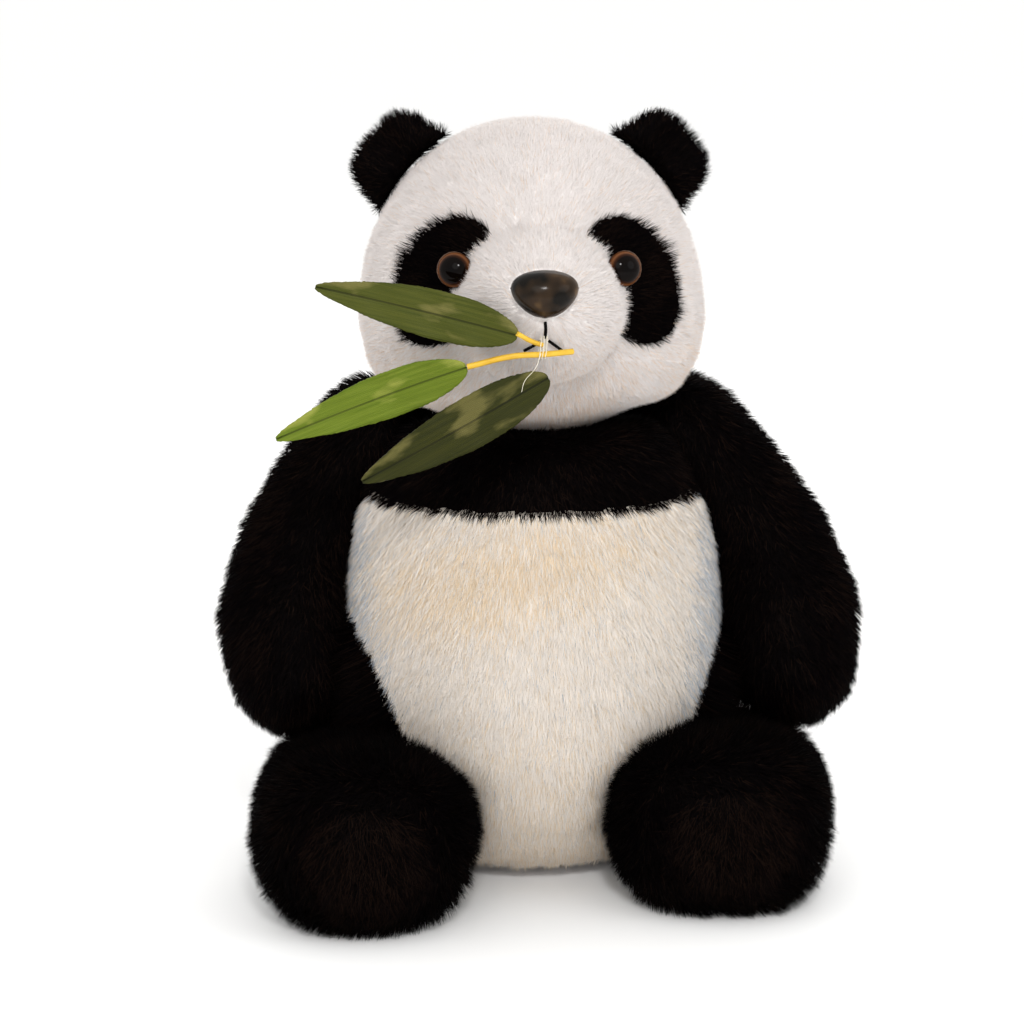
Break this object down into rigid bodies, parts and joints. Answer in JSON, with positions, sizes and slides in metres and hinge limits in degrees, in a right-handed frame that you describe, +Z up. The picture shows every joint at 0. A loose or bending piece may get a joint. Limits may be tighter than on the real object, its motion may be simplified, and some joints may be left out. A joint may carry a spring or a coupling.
{
  "type": "plush panda",
  "caption": "Sitting plush panda with a turning, nodding head, folding ears, lifting arms, spreading legs and a swivelling bamboo sprig in its mouth.",
  "frame": {"origin": "the middle of the flat seat, on the surface the panda sits on", "axes": "+Z up through the head, -Y the way the face looks, +X the panda's own left"},
  "size_m": [0.2549, 0.1977, 0.2986],
  "materials": {
    "white_plush": "dense short-pile plush, warm white, matt",
    "cream_plush": "dense short-pile plush, cream, matt",
    "black_plush": "dense plush pile, black with a faint brown sheen",
    "shaggy_black_plush": "longer shaggy black pile",
    "fibre_fill": "loose white polyester fibre",
    "pellet_cloth": "plain woven bag filled with pellets",
    "clear_plastic": "clear moulded plastic dome, glossy",
    "brown_plastic": "brown iris round a black pupil",
    "washer_plastic": "pressed white plastic",
    "nose_plastic": "satin dark brown moulding",
    "black_thread": "twisted embroidery thread",
    "tie_thread": "pale waxed thread",
    "dark_leaf": "woven polyester leaf, dark green, waxy sheen",
    "bright_leaf": "woven polyester leaf, bright green, waxy sheen",
    "stem_plastic": "yellow plastic-coated wire"
  },
  "bodies": {
    "torso": {"yoke_skin": "black_plush", "tummy_panel": "cream_plush", "flank_panel_left": "black_plush", "flank_panel_right": "black_plush", "back_panel": "white_plush", "seat_panel": "white_plush", "pellet_bag": "pellet_cloth", "torso_fill": "fibre_fill", "tail": "white_plush"},
    "neck": {"neck_pad": "fibre_fill"},
    "head": {"head_skin": "white_plush", "muzzle_skin": "white_plush", "head_fill": "fibre_fill", "eye_patch_left": "shaggy_black_plush", "eye_patch_right": "shaggy_black_plush", "eye_dome_left": "clear_plastic", "eye_dome_right": "clear_plastic", "eye_stem_left": "brown_plastic", "eye_stem_right": "brown_plastic", "eye_washer_left": "washer_plastic", "eye_washer_right": "washer_plastic", "nose": "nose_plastic", "nose_washer": "washer_plastic", "mouth_stitch_centre": "black_thread", "mouth_stitch_left": "black_thread", "mouth_stitch_right": "black_thread", "sprig_tie": "tie_thread"},
    "ear_left": {"ear_front_left": "black_plush", "ear_back_left": "black_plush"},
    "ear_right": {"ear_front_right": "black_plush", "ear_back_right": "black_plush"},
    "arm_left": {"arm_skin_left": "black_plush", "arm_fill_left": "fibre_fill"},
    "arm_right": {"arm_skin_right": "black_plush", "arm_fill_right": "fibre_fill"},
    "leg_left": {"leg_skin_left": "black_plush", "foot_sole_left": "black_plush", "leg_fill_left": "fibre_fill"},
    "leg_right": {"leg_skin_right": "black_plush", "foot_sole_right": "black_plush", "leg_fill_right": "fibre_fill"},
    "sprig": {"stem_main": "stem_plastic", "stem_upper": "stem_plastic", "leaf_upper": "dark_leaf", "leaf_middle": "bright_leaf", "leaf_lower": "dark_leaf"}
  },
  "joints": [
    {"name": "head_turn", "type": "hinge", "parent": "torso", "child": "neck", "pos_m": [0, -0.006, 0.236], "axis": [0, 0, 1], "range_deg": [-13, 13], "stiffness_Nm_per_rad": 2},
    {"name": "head_nod", "type": "hinge", "parent": "neck", "child": "head", "pos_m": [0, -0.006, 0.236], "axis": [1, 0, 0], "range_deg": [-8, 10], "stiffness_Nm_per_rad": 6},
    {"name": "ear_left_fold", "type": "hinge", "parent": "head", "child": "ear_left", "pos_m": [0.05029, -0.002, 0.27972], "axis": [0.6561, 0, -0.7547], "range_deg": [-15, 25], "stiffness_Nm_per_rad": 0.08},
    {"name": "ear_right_fold", "type": "hinge", "parent": "head", "child": "ear_right", "pos_m": [-0.05029, -0.002, 0.27972], "axis": [0.6561, 0, 0.7547], "range_deg": [-15, 25], "stiffness_Nm_per_rad": 0.08},
    {"name": "arm_left_lift", "type": "hinge", "parent": "torso", "child": "arm_left", "pos_m": [0.06, 0.016, 0.1685], "axis": [0, -1, 0], "range_deg": [0, 55]},
    {"name": "arm_right_lift", "type": "hinge", "parent": "torso", "child": "arm_right", "pos_m": [-0.06, 0.016, 0.1685], "axis": [0, 1, 0], "range_deg": [0, 55]},
    {"name": "leg_left_spread", "type": "hinge", "parent": "torso", "child": "leg_left", "pos_m": [0.064, -0.012, 0.035], "axis": [0, 0, 1], "range_deg": [0, 10], "stiffness_Nm_per_rad": 1.5},
    {"name": "leg_right_spread", "type": "hinge", "parent": "torso", "child": "leg_right", "pos_m": [-0.064, -0.012, 0.035], "axis": [0, 0, -1], "range_deg": [0, 10], "stiffness_Nm_per_rad": 1.5},
    {"name": "sprig_swivel", "type": "hinge", "parent": "head", "child": "sprig", "pos_m": [-0.004, -0.093, 0.218], "axis": [0, 1, 0], "range_deg": [-8, 8]}
  ]
}
